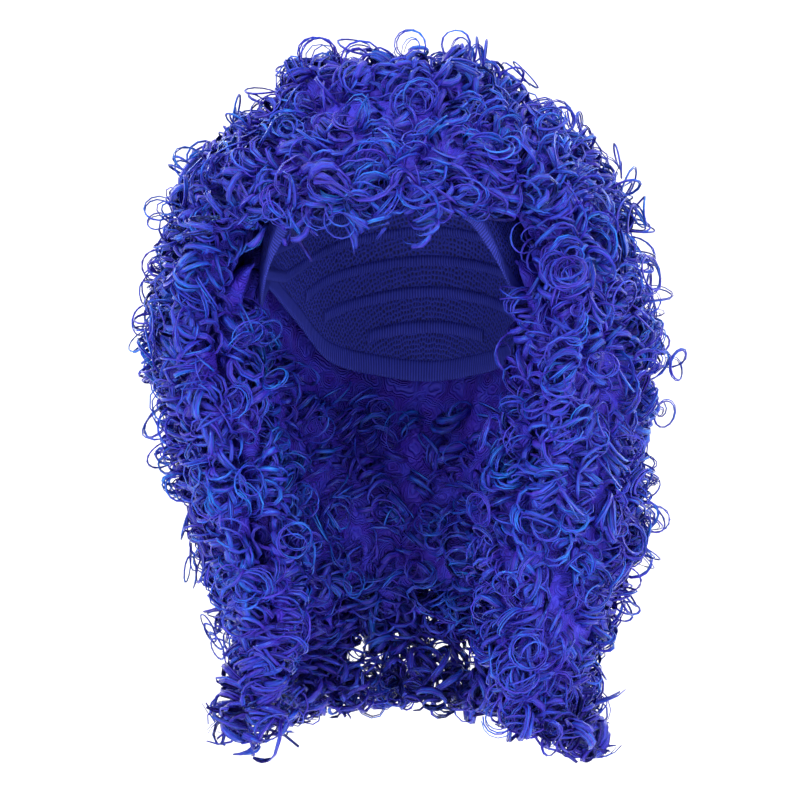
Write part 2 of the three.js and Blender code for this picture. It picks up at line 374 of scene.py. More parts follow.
@dataclass(frozen=True)
class CurledFibre:
    """Modacrylic wig fibre, set in a curl by steam: a glossy plastic thread, dyed royal blue.

    Each strand of the mesh is a wisp of fibres side by side, so fine streaks run along it and
    Strands that lie deep in the mass are painted darker and violet as painted shade, and strands
    that stand out are painted lighter.
    """

    # Painted shade and light: low tones, mostly from deep strands, take this violet, and high
    # tones, partly from outer strands, the light colour; random tones, streaks and patches also
    # move along the ramp
    violet_and_shade: str = "4024b4"
    body: str = "2a3ac2"
    light: str = "1a78d8"
    sheen: str = "b0e4ff"
    fibre_width: float = 0.7 * MM  # a real fibre is 0.07 mm, drawn wider so that it shows
    streak_length: float = 12 * MM
    patch: float = 40 * MM
    fibre_share: float = 0.75  # how much the fibres change the tone
    patch_share: float = 0.6
    tones: tuple[float, float] = (0.2, 1.5)  # the tones that show in the violet of painted shade and in the light colour
    roughness: float = 0.2  # on the fibres
    dull_roughness: float = 0.45  # and between them
    relief: float = 0.7  # the fibres' height as a share of their width

    def material(self) -> Material:
        """Makes the material of the curls.

        Returns:
            The material.
        """
        made, tree, shader = new_material("modacrylic_curled_fibre")
        streak = add_node(tree, "Attribute", {"attribute_name": "streak"}, {})
        tone = add_node(tree, "Attribute", {"attribute_name": "tone"}, {})
        place = add_node(tree, "TexCoord", {}, {})
        noise = add_node(tree, "TexNoise", {}, {
            "Vector": streak.outputs["Vector"], "Scale": 1.0, "Detail": 1.0})
        fibres = add_node(tree, "MapRange", {"interpolation_type": "SMOOTHSTEP"}, {
            "Value": noise, "From Min": 0.34, "From Max": 0.66})
        patches = add_node(tree, "TexNoise", {}, {
            "Vector": place.outputs["Object"], "Scale": 1 / self.patch, "Detail": 2.0})
        with_fibres = add_node(tree, "Math", {"operation": "MULTIPLY_ADD"}, {
            0: fibres, 1: self.fibre_share, 2: tone.outputs["Fac"]})
        with_patches = add_node(tree, "Math", {"operation": "MULTIPLY_ADD"}, {
            0: patches, 1: self.patch_share, 2: with_fibres})
        spread = add_node(tree, "MapRange", {}, {
            "Value": with_patches, "From Min": self.tones[0], "From Max": self.tones[1]})
        colour = add_node(tree, "ValToRGB", {
            "stops": {0.0: self.violet_and_shade, 0.5: self.body, 1.0: self.light}}, {
            "Fac": spread})
        rough = add_node(tree, "MapRange", {}, {
            "Value": fibres, "To Min": self.dull_roughness, "To Max": self.roughness})
        bump = add_node(tree, "Bump", {}, {
            "Height": fibres, "Strength": 1.0, "Distance": self.fibre_width * self.relief})
        set_inputs(tree, shader, {
            "Base Color": colour, "Roughness": rough, "Normal": bump, "IOR": 1.5,
            "Specular IOR Level": 0.5, "Specular Tint": linear(self.sheen)})
        return made


@dataclass(frozen=True)
class MattedFibre:
    """The same fibre deep in the hair, where it lies matted in rings. Its soft violet is painted
    shade of the deep mass, lightened to stand for light that passes through the fibres.

    Each ring is a curl seen end on: painted shade darkens its middle, with fine arcs of fibre round
    it.
    """

    # painted shade in the middle of each ring
    shaded_hole: str = "281690"
    dark: str = "3c26bc"
    ring: str = "3838cc"
    curl: float = 14 * MM
    fibre_gap: float = 1.4 * MM
    bend: float = 11 * MM
    depth: float = 5 * MM
    arc_share: float = 0.07  # how much the arcs change the colour
    noise_share: float = 0.5
    roughness: float = 0.6

    def material(self) -> Material:
        """Makes the material of the beds under the curls.

        Returns:
            The material.
        """
        made, tree, shader = new_material("modacrylic_matted_fibre")
        place = add_node(tree, "TexCoord", {}, {})
        noise = add_node(tree, "TexNoise", {}, {
            "Vector": place.outputs["Object"], "Scale": 1 / self.curl, "Detail": 2.0})
        bent = add_node(tree, "VectorMath", {"operation": "MULTIPLY_ADD"}, {
            0: noise.outputs["Color"], 1: (self.bend, self.bend, self.bend),
            2: place.outputs["Object"]})
        middles = add_node(tree, "TexVoronoi", {}, {
            "Vector": bent, "Scale": 1 / self.curl})
        turns = add_node(tree, "Math", {"operation": "MULTIPLY"}, {
            0: middles, 1: 2 * math.pi * self.curl / self.fibre_gap})
        arcs = add_node(tree, "Math", {"operation": "SINE"}, {0: turns})
        with_arcs = add_node(tree, "Math", {"operation": "MULTIPLY_ADD"}, {
            0: arcs, 1: self.arc_share, 2: middles})
        rings = add_node(tree, "Math", {"operation": "MULTIPLY_ADD"}, {
            0: noise, 1: self.noise_share, 2: with_arcs})
        colour = add_node(tree, "ValToRGB", {"stops": {
            0.3: self.shaded_hole, 0.46: self.dark, 0.72: self.ring, 0.95: self.dark}}, {
            "Fac": rings})
        bump = add_node(tree, "Bump", {}, {
            "Height": rings, "Strength": 1.0, "Distance": self.depth})
        set_inputs(tree, shader, {
            "Base Color": colour, "Normal": bump,
            "Roughness": self.roughness, "Specular IOR Level": 0.25})
        return made


@dataclass(frozen=True)
class StretchNet:
    """Knitted nylon stretch net, dyed dark blue: soft, matt threads round open meshes.

    The vertices' streak values give each place on the net in millimetres, as the net lay flat.
    """

    thread: str = "2b36a8"
    # Painted shade: the open meshes are coloured dark, for the shade seen through them.
    shaded_hole: str = "14144e"
    mesh: float = 3.0 * MM
    thread_share: float = 0.3
    roughness: float = 0.75

    def material(self) -> Material:
        """Makes the material of the cap's net.

        Returns:
            The material.
        """
        made, tree, shader = new_material("nylon_stretch_net")
        flat = add_node(tree, "Attribute", {"attribute_name": "streak"}, {})
        cells = add_node(tree, "TexVoronoi", {
            "feature": "DISTANCE_TO_EDGE", "voronoi_dimensions": "2D"}, {
            "Vector": flat.outputs["Vector"], "Scale": MM / self.mesh, "Randomness": 0.55})
        colour = add_node(tree, "ValToRGB", {
            "stops": {0.6 * self.thread_share: self.thread, self.thread_share: self.shaded_hole}}, {
            "Fac": cells})
        raised = add_node(tree, "MapRange", {"interpolation_type": "SMOOTHSTEP"}, {
            "Value": cells, "From Max": self.thread_share, "To Min": 1.0, "To Max": 0.0})
        bump = add_node(tree, "Bump", {}, {
            "Height": raised, "Strength": 0.8, "Distance": 0.5 * MM})
        set_inputs(tree, shader, {
            "Base Color": colour, "Normal": bump,
            "Roughness": self.roughness, "Specular IOR Level": 0.3})
        return made


@dataclass(frozen=True)
class WovenElastic:
    """Woven nylon and rubber elastic: a matt band with fine ribs across it.

    The vertices' streak values give the place along the band and across it in millimetres.
    """

    light: str = "3440b4"
    dark: str = "1c2280"
    rib: float = 1.6 * MM  # real ribs are 0.6 mm apart, drawn coarser so that they show
    roughness: float = 0.8

    def material(self) -> Material:
        """Makes the material of the tracks and the hem.

        Returns:
            The material.
        """
        made, tree, shader = new_material("nylon_woven_elastic")
        flat = add_node(tree, "Attribute", {"attribute_name": "streak"}, {})
        ribs = add_node(tree, "TexWave", {"bands_direction": "X"}, {
            "Vector": flat.outputs["Vector"], "Scale": math.pi * MM / (10 * self.rib),
            "Distortion": 0.4})
        colour = add_node(tree, "ValToRGB", {"stops": {0.2: self.dark, 0.8: self.light}}, {
            "Fac": ribs.outputs["Fac"]})
        bump = add_node(tree, "Bump", {}, {
            "Height": ribs.outputs["Fac"], "Strength": 0.7, "Distance": 0.4 * MM})
        set_inputs(tree, shader, {
            "Base Color": colour, "Normal": bump,
            "Roughness": self.roughness, "Specular IOR Level": 0.3})
        return made


@dataclass(frozen=True)
class StudioPaper:
    """Seamless background paper: matt and nearly white, with a faint grain."""

    light: str = "fbfbfb"
    dark: str = "f4f4f5"
    grain: float = 60 * MM
    roughness: float = 0.9

    def material(self) -> Material:
        """Makes the material of the floor.

        Returns:
            The material.
        """
        made, tree, shader = new_material("seamless_paper")
        place = add_node(tree, "TexCoord", {}, {})
        grain = add_node(tree, "TexNoise", {}, {
            "Vector": place.outputs["Object"], "Scale": 1 / self.grain})
        colour = add_node(tree, "ValToRGB", {"stops": {0.3: self.dark, 0.7: self.light}}, {
            "Fac": grain})
        set_inputs(tree, shader, {"Base Color": colour, "Roughness": self.roughness})
        return made


# The curls


class Strand(Enum):
    """What a strand of the mesh stands for."""

    LOCK = "a broad flat lock of many fibres"
    WISP = "a narrow wisp of fibres"
    THREAD = "a few fibres"
    STRAY = "a few fibres that stand out of the mass in open loops"


@dataclass(frozen=True)
class CurlStyle:
    """The sizes of one kind of strand and of the curls that it lies in."""

    strand: Strand
    triangles: int  # before the parts that the beds hide are left out
    width: float
    thickness: float
    radius: tuple[float, float]
    pitch: tuple[float, float]
    turns: float
    rise: tuple[float, float]  # how high a curl's outer side stands over the skin of the hair
    mates: int  # loose threads that run beside the strand in its curl
    steps_per_turn: int
    tone: float = 0.0

    @property
    def steps(self) -> int:
        """Points along a strand."""
        return round(self.turns * self.steps_per_turn) + 1

    @property
    def curls(self) -> int:
        """Curls that fit in the style's triangles."""
        return self.triangles // ((6 * self.steps - 4) * (1 + self.mates))


STYLES = (
    CurlStyle(Strand.LOCK, 425_000, 3.9 * MM, 0.9 * MM, (6.5 * MM, 9.5 * MM), (6 * MM, 10 * MM),
              turns=2.3, rise=(-9 * MM, -1.5 * MM), mates=1, steps_per_turn=9),
    CurlStyle(Strand.WISP, 270_000, 2.1 * MM, 0.8 * MM, (6.0 * MM, 9.0 * MM), (4 * MM, 8 * MM),
              turns=2.5, rise=(-7 * MM, 1 * MM), mates=1, steps_per_turn=10),
    CurlStyle(Strand.THREAD, 150_000, 0.95 * MM, 0.8 * MM, (6.5 * MM, 10.0 * MM), (2 * MM, 5 * MM),
              turns=2.4, rise=(-4 * MM, 5 * MM), mates=2, steps_per_turn=11),
    CurlStyle(Strand.STRAY, 130_000, 0.9 * MM, 0.8 * MM, (7.0 * MM, 10.5 * MM), (2 * MM, 6 * MM),
              turns=2.0, rise=(1 * MM, 11 * MM), mates=1, steps_per_turn=13, tone=-0.25),
)
MATE_SHARE = 0.35  # a mate's width as a share of its strand's
MATE_WIDTH = 0.95 * MM  # and the least that it has
MATE_THICKNESS = 0.75 * MM
END_SINK = 7 * MM  # how far a strand's ends dip into the mass


@dataclass
class StrandMesh:
    """Vertices, triangles and shading values of many strands, gathered into one mesh."""

    parts: list[Arrays] = field(default_factory=list)
    tones: list[Array] = field(default_factory=list)
    streaks: list[Array] = field(default_factory=list)

    def sweep(self, middles: Array, outwards: Array, widths: Array,
              thickness: float, tones: Array, seeds: Array, buried: Array) -> None:
        """Sweeps a flat three-sided section along many lines at once, where they show.

        Args:
            middles: The lines, as strands by points by coordinates.
            outwards: The way that the flat side faces at each point.
            widths: The width of the section at each point.
            thickness: How far the section stands up from its flat side.
            tones: A tone at each point.
            seeds: A number for each strand that sets its streaks apart.
            buried: Whether each point lies deep inside a bed of hair.
        """
        strands, steps, _ = middles.shape
        along = unit(np.gradient(middles, axis=1))
        across = unit(np.cross(along, outwards))
        normal = np.cross(across, along)
        half = 0.5 * widths[..., None] * across
        rise = thickness * (widths / widths.max(axis=1, keepdims=True))[..., None] * normal
        low = middles - rise / 3
        section = np.stack([low - half, low + half, middles + 2 * rise / 3], 2)
        numbers = np.arange(strands * steps * 3).reshape(strands, steps, 3)
        shown = ~(buried[:, :-1] & buried[:, 1:])
        is_first = shown & ~np.pad(shown, ((0, 0), (1, 0)))[:, :-1]
        is_last = shown & ~np.pad(shown, ((0, 0), (0, 1)))[:, 1:]
        here, there = numbers[:, :-1], numbers[:, 1:]
        faces = [here[is_first][:, ::-1], there[is_last]]
        here, there = here[shown], there[shown]
        for k in range(3):
            j = (k + 1) % 3
            faces.append(quad_faces(here[:, k], here[:, j], there[:, j], there[:, k]))
        lengths = np.linalg.norm(np.diff(middles, axis=1), axis=-1)
        run = np.concatenate([np.zeros((strands, 1)), np.cumsum(lengths, 1)], 1)
        streak = np.zeros((strands, steps, 3, 3))
        streak[..., 0] = widths.max() / CurledFibre.fibre_width * np.array([0.0, 1.0, 0.5])
        streak[..., 1] = run[..., None] / CurledFibre.streak_length
        streak[..., 2] = seeds[:, None, None]
        self.parts.append((section.reshape(-1, 3), np.concatenate(faces)))
        self.tones.append(np.repeat(tones.reshape(-1), 3))
        self.streaks.append(streak.reshape(-1, 3))

    def build(self, name: str) -> Object:
        """Makes the mesh object.

        Args:
            name: The object's name.

        Returns:
            The object.
        """
        points, faces = joined(self.parts)
        used, faces = np.unique(faces, return_inverse=True)
        made = new_mesh(name, points[used], faces.reshape(-1, 3))
        set_values(made, "tone", np.concatenate(self.tones)[used])
        set_values(made, "streak", np.concatenate(self.streaks)[used])
        return made


# The hair


def read_lines(lines: Array, places: Array) -> Array:
    """Reads lines of evenly spaced points at places from 0 to 1 along them.

    Args:
        lines: The lines, as lines by points by coordinates.
        places: The places, as lines by places.

    Returns:
        The points at those places.
    """
    at = np.clip(places, 0, 1) * (lines.shape[1] - 1)
    low = np.minimum(at.astype(int), lines.shape[1] - 2)
    part = (at - low)[..., None]
    rows = np.arange(len(lines))[:, None]
    return lines[rows, low] * (1 - part) + lines[rows, low + 1] * part


def evened_lines(lines: Array, times: int) -> Array:
    """Evens out each line, keeping its ends.

    Args:
        lines: The lines, as lines by points by coordinates.
        times: How often each point moves halfway to the mean of its neighbours.

    Returns:
        The new lines.
    """
    lines = lines.copy()
    for _ in range(times):
        lines[:, 1:-1] = 0.25 * lines[:, :-2] + 0.5 * lines[:, 1:-1] + 0.25 * lines[:, 2:]
    return lines


@dataclass
class HairSkin:
    """The outer skin of all the hair: every row joined, with the grooves between locks filled."""

    nodes: list[str]
    voxel: float = 5 * MM
    groove: float = 7 * MM  # grooves up to twice as wide are filled
    covered: float = 14 * MM  # hair that faces the cap from nearer than this is hidden
    cap_gap: float = 9 * MM  # and so is all hair nearer to it than this
    inward: float = 0.3  # hair faces inwards where its inwardness is more than this
    inner_share: float = 0.9  # how much of that hair is kept
    tries: float = 2.5  # spots tried for each one wanted
    apart: float = 0.6  # how evenly curls are spread: 0 at random, 0.8 as evenly as they fit
    hangs_from: float = -0.5  # a curl hangs free where the skin's normal points down past this
    lowest: float = -0.338  # and turns aside at this height
    fringe_above: float = -0.2  # a curl at the fringe, above this, hangs free
    fringe_sway: float = 0.3  # only if it starts nearly straight down
    spread: float = 0.7  # how far the way down leads outwards
    settle: float = 0.2  # how much each step turns to the way down

    def __post_init__(self) -> None:
        """Makes the skin."""
        solids = [node_solid(node) for node in self.nodes]
        self.owners = [search_tree(*solid) for solid in solids]
        self.cap = search_tree(*node_solid("cap"))
        points, faces = remeshed(*joined(solids), self.voxel)
        points = points + self.groove * vertex_normals(points, faces)
        points, faces = remeshed(points, faces, self.voxel)
        normals = evened(vertex_normals(points, faces), faces, 4)
        points = evened(points - self.groove * unit(normals), faces, 6)
        self.points, self.faces = points, faces
        self.tree = search_tree(points, faces)
        LOG.info("skin: %d faces, %.3f to %.3f", len(faces), points[:, 2].min(), points[:, 2].max())

    def owner(self, spot: Array) -> int:
        """Returns the number of the row that lies nearest to a spot."""
        return int(np.argmin([tree.find_nearest(Vector(spot))[3] for tree in self.owners]))

    def spots(self, count: int, rng: np.random.Generator) -> Arrays:
        """Picks spots spread over the open part of the skin.

        Args:
            count: How many spots are wanted.
            rng: The source of the random draws.

        Returns:
            The spots and the normals there.
        """
        a, b, c = (self.points[self.faces[:, k]] for k in range(3))
        cross = np.cross(b - a, c - a)
        areas = np.linalg.norm(cross, axis=1)
        share = np.cumsum(areas) / areas.sum()
        tries = int(count * self.tries)
        picks = np.searchsorted(share, (np.arange(tries) + rng.random(tries)) / tries)
        picks = np.minimum(picks, len(areas) - 1)
        u, v = rng.random((2, tries, 1))
        flip = u + v > 1
        u, v = np.where(flip, 1 - u, u), np.where(flip, 1 - v, v)
        found = a[picks] + u * (b - a)[picks] + v * (c - a)[picks]
        normals = unit(cross)[picks]
        is_open = np.array([
            self.cap.ray_cast(Vector(p), Vector(n), self.covered)[0] is None
            and self.cap.find_nearest(Vector(p), self.cap_gap)[0] is None
            for p, n in zip(found, normals)
        ])
        is_inward = self.inwardness(found, normals) > self.inward
        is_thinned = is_inward & (rng.random(tries) > self.inner_share)
        keep = rng.permutation(np.flatnonzero(is_open & ~is_thinned))
        found, normals = found[keep], normals[keep]
        apart = self.apart * math.sqrt(areas.sum() * len(keep) / tries / count)
        is_apart = np.zeros(len(keep), bool)
        for i, spot in enumerate(found):
            near = np.linalg.norm(found[:i][is_apart[:i]] - spot, axis=1)
            is_apart[i] = (near > apart).all()
        order = np.argsort(~is_apart, kind="stable")[:count]
        return found[order], normals[order]

    def inwardness(self, spots: Array, normals: Array) -> Array:
        """Returns how far each normal points at the middle of the wig, from -1 to 1."""
        return -dot(level(spots), normals)[:, 0]

    def follow(self, start: Array, normal: Array, sway: float, steps: int, step: float) -> Arrays:
        """Walks over the skin, at first to a side and then down as the hair falls.

        Args:
            start: The first point.
            normal: The skin's normal there.
            sway: The angle between the first step and the way down.
            steps: How many points the walk has.
            step: The distance between two points.

        Returns:
            The points and the normals there.
        """
        point, way = start.copy(), None
        path, normals = np.empty((steps, 3)), np.empty((steps, 3))
        for i in range(steps):
            near, found, _, _ = self.tree.find_nearest(Vector(point))
            if i == 0 or found[2] > self.hangs_from:
                point, normal = np.array(near), np.array(found)
                fall = self.spread * level(point) - UP
                fall = unit(fall - normal * (fall @ normal))
            elif point[2] > self.lowest and (
                point[2] < self.fringe_above or abs(sway) < self.fringe_sway
            ):
                fall = -UP
            else:
                fall = level(way)
            path[i], normals[i] = point, normal
            if way is None:
                way = fall * math.cos(sway) + np.cross(normal, fall) * math.sin(sway)
            way = unit((1 - self.settle) * way + self.settle * fall)
            point = point + step * way
        return path, normals


@dataclass
class HairRow:
    """One row of hair: a bed of matted fibre with curls over it."""

    node: str
    piece: str
    bed_voxel: float = 5 * MM
    bed_depth: float = 12.5 * MM
    airy_depth: float = 22 * MM  # the bed's depth at the lowest tips, where light shows through
    airy_from: float = -0.23
    airy_to: float = -0.33
    give: float = 0.42  # the most of a row's thickness that lies over its bed
    curls: StrandMesh = field(default_factory=StrandMesh)
    bed: Arrays | None = None

    def shape_bed(self, skin: HairSkin) -> None:
        """Shapes the bed: the row's solid, drawn in from the skin and evened out.

        Args:
            skin: The skin of all the hair.
        """
        points, faces = remeshed(*node_solid(self.node), self.bed_voxel)
        tree = search_tree(points, faces)
        normals = unit(evened(vertex_normals(points, faces), faces, 2))
        airy = np.clip((points[:, 2] - self.airy_from) / (self.airy_to - self.airy_from), 0, 1)
        depths = self.bed_depth + (self.airy_depth - self.bed_depth) * airy
        moved = points.copy()
        for i, (point, normal, depth) in enumerate(zip(points, normals, depths)):
            near, outward, _, _ = skin.tree.find_nearest(Vector(point))
            sunk = (np.array(near) - point) @ np.array(outward)
            wanted = min(max(depth - sunk, 0.0), depth)
            if wanted > 0:
                start = Vector(point - normal * 0.5 * MM)
                far = tree.ray_cast(start, -outward, 3 * depth)[3]
                most = self.give * (far or 3 * depth)
                moved[i] = point - np.array(outward) * min(wanted, most)
        points, faces = remeshed(evened(moved, faces, 3), faces, self.bed_voxel)
        self.bed = evened(points, faces, 3), faces

    def build(self, curl_finish: Material, bed_finish: Material) -> None:
        """Makes the row's bed and its curls and sets them on the frame.

        Args:
            curl_finish: The material of the curls.
            bed_finish: The material of the bed.
        """
        dress(new_mesh(self.piece + "_bed", *self.bed), bed_finish, self.node)
        dress(self.curls.build(self.piece + "_curls"), curl_finish, self.node)


@dataclass
class Hair:
    """All the rows of hair and the curls that run over them."""

    rows: list[HairRow]
    seed: int = 11
    walk: int = 10  # points along the way that a curl follows
    reach: float = 12 * MM  # how far a curl may stand out past the ends of the hair's box
    raised: float = 8 * MM  # how much higher than the hair's box the tips end
    sway: float = 0.75  # spread of the angles at which curls set off aside
    most_sway: float = 1.7
    tilt: Array = field(default_factory=lambda: np.array([0.7, 0.0, 0.0]))  # along, out, aside
    tilt_spread: tuple[float, float, float] = (0.4, 0.55, 0.55)
    bend: float = 0.45  # how much a curl's axis bends from its start to its end
    evenings: int = 4  # how often the ways that curls follow are evened out
    bunching: float = 0.09  # how far turns crowd together along a curl
    bunch_paces: tuple[float, float] = (5, 12)  # and how often, in radians along the curl
    low_from: float = -0.22  # curls below this height lie lower
    low_over: float = 0.1
    low_sink: float = 5 * MM
    lift: float = 0.6  # curls rise by this share where a bed lies high
    most_lift: float = 8 * MM
    end_share: float = 0.07  # the part of a strand that dips into the mass
    swell: float = 0.15  # how much a curl's radius goes up and down
    swell_paces: tuple[float, float] = (4, 9)
    shrink: float = 0.3  # how much smaller it is at its end
    lean: float = 0.8  # how far a strand's flat side may turn outwards
    start_taper: tuple[float, float] = (0.45, 6)  # width at the start and how fast it grows
    end_taper: tuple[float, float] = (0.35, 5)
    widths: tuple[float, float] = (0.75, 1.25)
    ripple: float = 0.2  # how much a strand's width goes up and down
    ripple_pace: float = 9
    mate_turn: float = 0.16  # how far mates run ahead of their strand, in radians
    mate_size: tuple[float, float] = (0.04, 0.07)  # how much wider they curl: mean and spread
    mate_shift: tuple[float, float] = (0.4, 0.5 * MM)  # aside: a share of the width, and more
    tone_spread: float = 0.3
    strand_tone: float = 0.06
    shade_depth: float = 30 * MM  # painted shade: how much deeper a strand lies for its tone to drop by one
    shade_tones: tuple[float, float] = (-0.3, 0.2)  # the most that painted shade and light by depth change a tone
    most_seed: float = 500
    bury: float = 1 * MM  # strands deeper than this inside a bed are left out

    def __post_init__(self) -> None:
        """Makes the skin of the hair and the beds under it."""
        self.rng = np.random.default_rng(self.seed)
        self.skin = HairSkin([row.node for row in self.rows])
        for row in self.rows:
            row.shape_bed(self.skin)
        self.cover = search_tree(*joined([row.bed for row in self.rows]))

    def buried(self, lines: Array, depth: float) -> Array:
        """Tells which points lie deep inside the beds.

        Args:
            lines: The points, as lines by points by coordinates.
            depth: How deep they have to lie.

        Returns:
            A true or false for each point, as lines by points.
        """
        found = []
        for point in lines.reshape(-1, 3).tolist():
            near, outward, _, distance = self.cover.find_nearest(point)
            found.append(distance > depth and (Vector(point) - near).dot(outward) < -depth)
        return np.array(found).reshape(lines.shape[:2])

    def wave(self, share: Array, slowest: float, fastest: float) -> Array:
        """Returns a slow wave along each strand, from -1 to 1, with a drawn start and pace."""
        start = self.rng.uniform(0, PHASES, (len(share), 1))
        return np.sin(start + self.rng.uniform(slowest, fastest, (len(share), 1)) * share)

    def held(self, lines: Array) -> Array:
        """Eases the parts of lines that stand far out back towards the hair's box.

        Args:
            lines: The lines, as lines by points by coordinates.

        Returns:
            The lines with those parts eased.
        """
        lo, hi = self.skin.points.min(0), self.skin.points.max(0)
        lo = lo + [0.0, 0.0, self.raised]
        over = np.maximum(lines - hi, 0)
        under = np.maximum(lo - lines, 0)
        ease = self.reach * (np.tanh(over / self.reach) - np.tanh(under / self.reach))
        return lines - over + under + ease

    def lay(self, style: CurlStyle) -> None:
        """Lays the curls of one style over the hair.

        Args:
            style: The sizes of the curls.
        """
        skin, rng = self.skin, self.rng
        spots, normals = skin.spots(style.curls, rng)
        count = len(spots)
        LOG.info("%s: %d curls of %d", style.strand.name, count, style.curls)
        rows = np.array([skin.owner(spot) for spot in spots])
        radius = rng.uniform(*style.radius, count)
        length = rng.uniform(*style.pitch, count) * style.turns
        sway = np.clip(rng.normal(0, self.sway, count), -self.most_sway, self.most_sway)
        paths, walls = np.empty((2, count, self.walk, 3))
        for i in range(count):
            step = length[i] / (self.walk - 1)
            paths[i], walls[i] = skin.follow(spots[i], normals[i], sway[i], self.walk, step)
        paths = evened_lines(paths, self.evenings)
        walls = unit(evened_lines(walls, self.evenings))
        share = np.broadcast_to(np.linspace(0, 1, style.steps), (count, style.steps))
        bunch = rng.uniform(0, self.bunching, (count, 1)) * self.wave(share, *self.bunch_paces)
        middles, outs = read_lines(paths, share + bunch), unit(read_lines(walls, share))
        ways = unit(np.gradient(read_lines(paths, share), axis=1))
        outs = unit(outs - ways * dot(outs, ways))
        sides = np.cross(ways, outs)
        first_tilt = self.tilt + rng.normal(size=(count, 1, 3)) * self.tilt_spread
        last_tilt = first_tilt + rng.normal(size=(count, 1, 3)) * self.bend
        tilt = unit(first_tilt) * (1 - share[..., None]) + unit(last_tilt) * share[..., None]
        across = unit(np.cross(first_tilt, rng.normal(size=(count, 1, 3))))
        first_arm = unit(np.cross(tilt, across))
        arms = [first_arm, unit(np.cross(tilt, first_arm))]
        arms = [v[..., :1] * ways + v[..., 1:2] * outs + v[..., 2:] * sides for v in arms]
        extent = np.sqrt(dot(arms[0], outs) ** 2 + dot(arms[1], outs) ** 2)
        hand = rng.choice([-1.0, 1.0], (count, 1))
        start = rng.uniform(0, 2 * math.pi, (count, 1))
        low = np.clip((self.low_from - spots[:, 2]) / self.low_over, 0, 1)
        rise = rng.uniform(*style.rise, count) - self.low_sink * low
        depths = np.array([self.cover.find_nearest(Vector(spot))[3] for spot in spots])
        rise += self.lift * np.clip(HairRow.bed_depth - depths, 0, self.most_lift)
        ends = np.exp(-share / self.end_share) + np.exp((share - 1) / self.end_share)
        height = rise[:, None, None] - radius[:, None, None] * extent - END_SINK * ends[..., None]
        tone = style.tone + rng.uniform(0.0, self.tone_spread, (count, 1))
        swell = 1 + self.swell * self.wave(share, *self.swell_paces)
        turn = start + hand * 2 * math.pi * style.turns * share
        lean = rng.uniform(0.0, self.lean, (count, 1, 1)) * outs
        taper = np.minimum(1, self.start_taper[0] + self.start_taper[1] * share)
        taper = taper * np.minimum(1, self.end_taper[0] + self.end_taper[1] * (1 - share))
        for mate in range(1 + style.mates):
            loose = 1.0 if mate else 0.0
            angle = turn + loose * rng.normal(0, self.mate_turn, (count, 1))
            size = radius[:, None] * swell * (1 - self.shrink * share**3)
            size = size * (1 + loose * rng.normal(*self.mate_size, (count, 1)))
            spoke = np.cos(angle)[..., None] * arms[0] + np.sin(angle)[..., None] * arms[1]
            shift = self.mate_shift[0] * style.width + self.mate_shift[1]
            edge = loose * rng.normal(0, shift, (count, 1, 1)) * tilt
            lines = self.held(middles + edge + outs * height + spoke * size[..., None])
            width = max(MATE_WIDTH, MATE_SHARE * style.width) if mate else style.width
            widths = width * rng.uniform(*self.widths, (count, 1)) * taper
            ripple = np.sin(rng.uniform(0, PHASES, (count, 1)) + self.ripple_pace * share)
            widths = widths * (1 + self.ripple * ripple)
            # Painted shade and light: strands that lie deeper in the mass get darker, more violet
            # tones, and those that stand out get lighter ones.
            depth = (height + size[..., None] * dot(spoke, outs))[..., 0]
            painted_shade = np.clip(depth / self.shade_depth, *self.shade_tones)
            tones = tone + rng.normal(0, self.strand_tone, (count, 1)) + painted_shade
            seeds = rng.uniform(0, self.most_seed, count)
            facing = unit(spoke + lean)
            thickness = MATE_THICKNESS if mate else style.thickness
            buried = self.buried(lines, self.bury + 0.5 * width)
            for number, row in enumerate(self.rows):
                mine = rows == number
                if mine.any():
                    row.curls.sweep(lines[mine], facing[mine], widths[mine], thickness,
                                    tones[mine], seeds[mine], buried[mine])

    def build(self) -> None:
        """Lays all the curls and sets the rows on the frame."""
        for style in STYLES:
            self.lay(style)
        curl_finish = CurledFibre().material()
        bed_finish = MattedFibre().material()
        for row in self.rows:
            row.build(curl_finish, bed_finish)


# The cap


